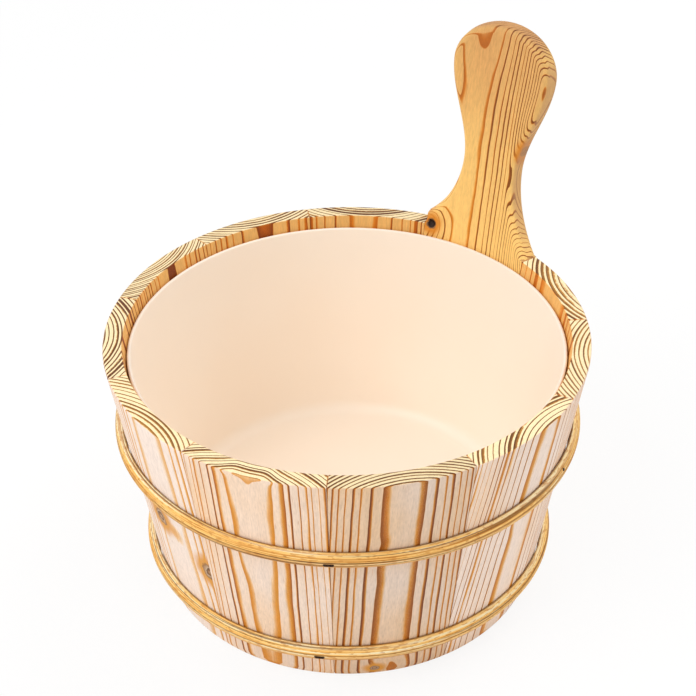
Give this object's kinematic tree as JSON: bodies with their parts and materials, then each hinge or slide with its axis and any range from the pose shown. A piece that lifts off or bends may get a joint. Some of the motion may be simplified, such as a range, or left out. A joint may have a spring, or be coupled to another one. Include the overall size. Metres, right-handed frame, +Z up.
{
  "type": "sauna bucket",
  "caption": "Tapered wooden sauna bucket of bevelled pine staves with half-round hoops, one tall stave as a paddle handle, and a loose plastic liner.",
  "frame": {"origin": "on the floor under the middle of the overall box; the bucket's own axis stands 9 mm towards -Y, because the handle leans out past the rim on +Y", "axes": "+Z up, +Y towards the handle, +X to the right of someone facing the handle across the bucket"},
  "size_m": [0.2498, 0.2684, 0.2635],
  "materials": {
    "stave_pine": "planed pine, bare",
    "handle_pine": "sanded pine, bare",
    "bottom_pine": "planed pine, bare",
    "hoop_wood": "split strip, bare",
    "liner_plastic": "satin moulded",
    "staple_steel": "darkened wire"
  },
  "bodies": {
    "bucket": {"handle_stave": "handle_pine", "stave_1": "stave_pine", "stave_2": "stave_pine", "stave_3": "stave_pine", "stave_4": "stave_pine", "stave_5": "stave_pine", "stave_6": "stave_pine", "stave_7": "stave_pine", "stave_8": "stave_pine", "stave_9": "stave_pine", "stave_10": "stave_pine", "bottom_board_1": "bottom_pine", "bottom_board_2": "bottom_pine", "bottom_board_3": "bottom_pine", "upper_hoop": "hoop_wood", "lower_hoop": "hoop_wood", "upper_staple_front": "staple_steel", "upper_pin_side": "staple_steel", "upper_staple_right_end": "staple_steel", "upper_staple_left_end": "staple_steel", "lower_staple_front": "staple_steel", "lower_staple_right_end": "staple_steel", "lower_staple_left_end": "staple_steel"},
    "liner": {"liner": "liner_plastic"}
  },
  "joints": [
    {"name": "liner_lift", "type": "slide", "parent": "bucket", "child": "liner", "axis": [0, 0, 1], "range_m": [0, 0.15]}
  ]
}
